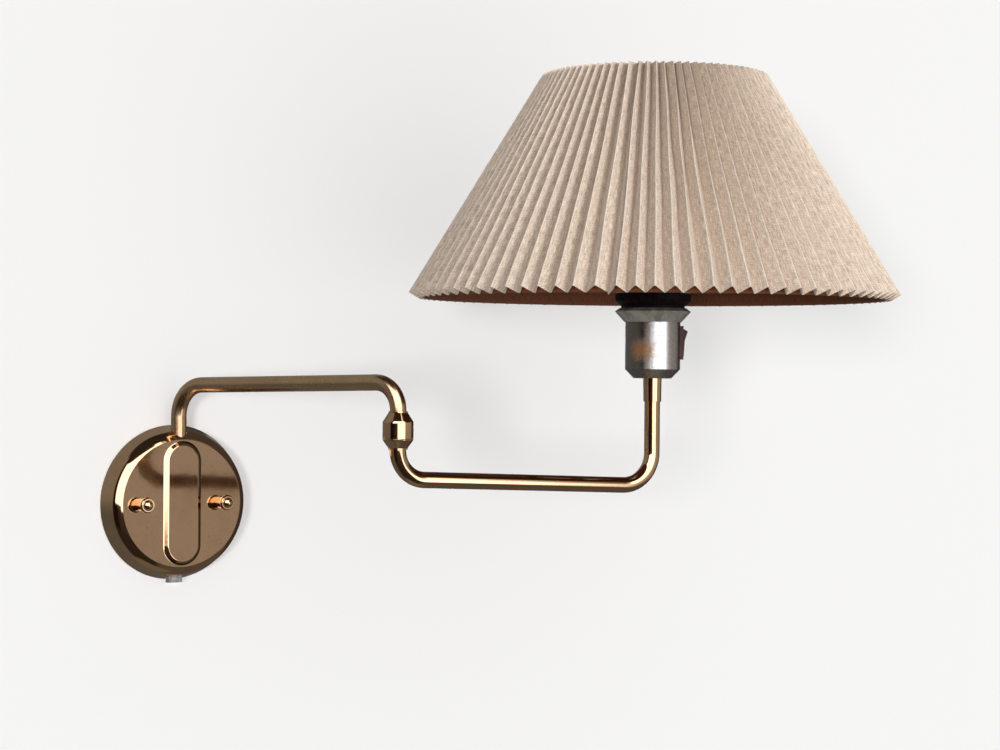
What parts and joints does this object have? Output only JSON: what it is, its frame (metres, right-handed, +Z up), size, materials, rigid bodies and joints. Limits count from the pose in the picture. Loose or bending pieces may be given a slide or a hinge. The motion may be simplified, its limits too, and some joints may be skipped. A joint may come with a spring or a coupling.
{
  "type": "articulating wall light",
  "caption": "Swing-arm wall light with a polished dish, two bent tube arms on upright pivots, a switched lampholder and a pleated linen shade.",
  "frame": {"origin": "centre of the wall dish's back, on the wall", "axes": "+X to the right along the wall, +Y into the wall, +Z up"},
  "size_m": [0.543, 0.4228, 0.3961],
  "materials": {
    "polished_brass": "polished, toned dark",
    "turned_brass": "turned, bare",
    "nickel": "polished nickel, toned",
    "zinc_steel": "zinc plated",
    "white_wire": "coated wire",
    "black_moulding": "moulded, satin",
    "white_nylon": "moulded",
    "clear_grommet": "milky",
    "linen": "woven, pleated",
    "shade_lining": "smooth lining"
  },
  "bodies": {
    "wall": {"wall_cover": "polished_brass", "wall_bracket": "zinc_steel", "bracket_studs": "zinc_steel", "cap_nuts": "polished_brass", "pivot_block": "turned_brass", "pivot_block_screws": "zinc_steel", "terminal_block": "white_nylon", "terminal_screws": "zinc_steel", "earth_screw": "zinc_steel", "cord_grommet": "clear_grommet"},
    "upper_arm": {"upper_arm_tube": "polished_brass", "pivot_spigot": "turned_brass", "pivot_washer": "white_nylon", "pivot_spring_washer": "zinc_steel", "pivot_nut": "turned_brass", "knuckle_housing": "polished_brass", "knuckle_ring_nut": "turned_brass"},
    "lower_arm": {"knuckle_spindle": "polished_brass", "knuckle_washer": "white_nylon", "knuckle_lock_ring": "zinc_steel", "lower_arm_tube": "polished_brass", "riser_sleeve": "polished_brass", "socket_nipple": "turned_brass", "socket_nut": "zinc_steel", "socket_cap": "nickel", "socket_flange": "nickel", "socket_body": "black_moulding", "body_nut": "turned_brass", "screw_shell": "turned_brass", "centre_contact": "turned_brass", "lamp_terminals": "turned_brass", "shade_ring_lower": "black_moulding", "shade_ring_upper": "black_moulding", "switch_housing": "black_moulding", "switch_terminals": "zinc_steel", "shade_fitter": "white_wire", "shade_legs": "white_wire", "shade_top_ring": "white_wire", "shade_bottom_ring": "white_wire", "shade_lining": "shade_lining", "shade_cover": "linen"},
    "rocker": {"switch_rocker": "black_moulding"}
  },
  "joints": [
    {"name": "wall_swing", "type": "hinge", "parent": "wall", "child": "upper_arm", "pos_m": [0, -0.0106, 0.043], "axis": [0, 0, 1], "range_deg": [-110, 66]},
    {"name": "elbow_swing", "type": "hinge", "parent": "upper_arm", "child": "lower_arm", "pos_m": [0.08054, -0.20994, 0.056], "axis": [0, 0, 1], "range_deg": [-211, 88]},
    {"name": "switch_tip", "type": "hinge", "parent": "lower_arm", "child": "rocker", "pos_m": [0.31025, -0.24542, 0.128], "axis": [-0.5592, -0.829, 0], "range_deg": [0, 20]}
  ]
}
